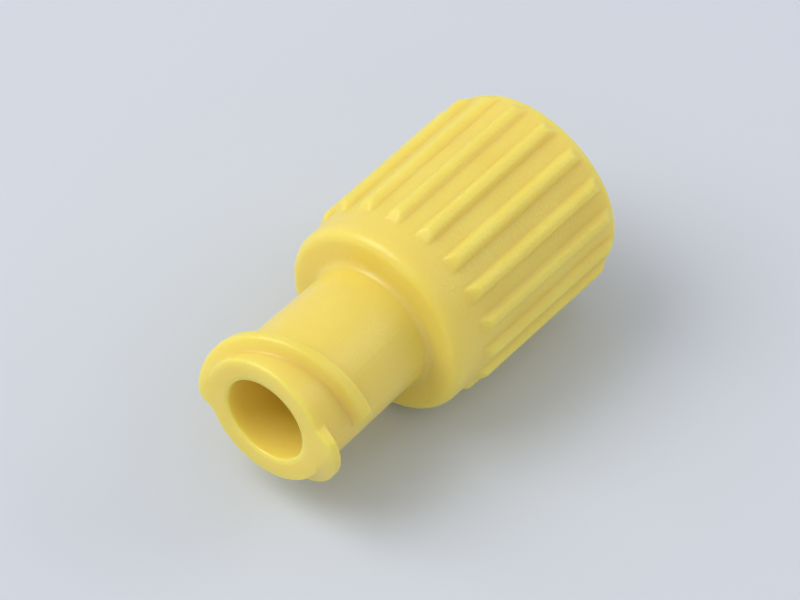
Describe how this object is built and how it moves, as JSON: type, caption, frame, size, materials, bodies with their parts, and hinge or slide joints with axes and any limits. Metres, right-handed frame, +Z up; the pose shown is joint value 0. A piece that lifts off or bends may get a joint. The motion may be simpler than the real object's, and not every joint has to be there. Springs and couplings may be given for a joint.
{
  "type": "combi stopper",
  "caption": "One-piece plastic closure with a threaded tapered socket at one end and a ribbed lock collar round a tapered male cone at the other.",
  "frame": {"origin": "middle of the footprint, on the surface that the stopper lies on", "axes": "+X along the axis from the socket's mouth to the collar's rim, +Z up; the stopper lies on two grip ribs"},
  "size_m": [0.0194, 0.0104, 0.0104],
  "materials": {
    "yellow_plastic": "moulded polyethylene, translucent yellow, satin with soft shine"
  },
  "bodies": {
    "root": {"stopper": "yellow_plastic"}
  },
  "joints": []
}
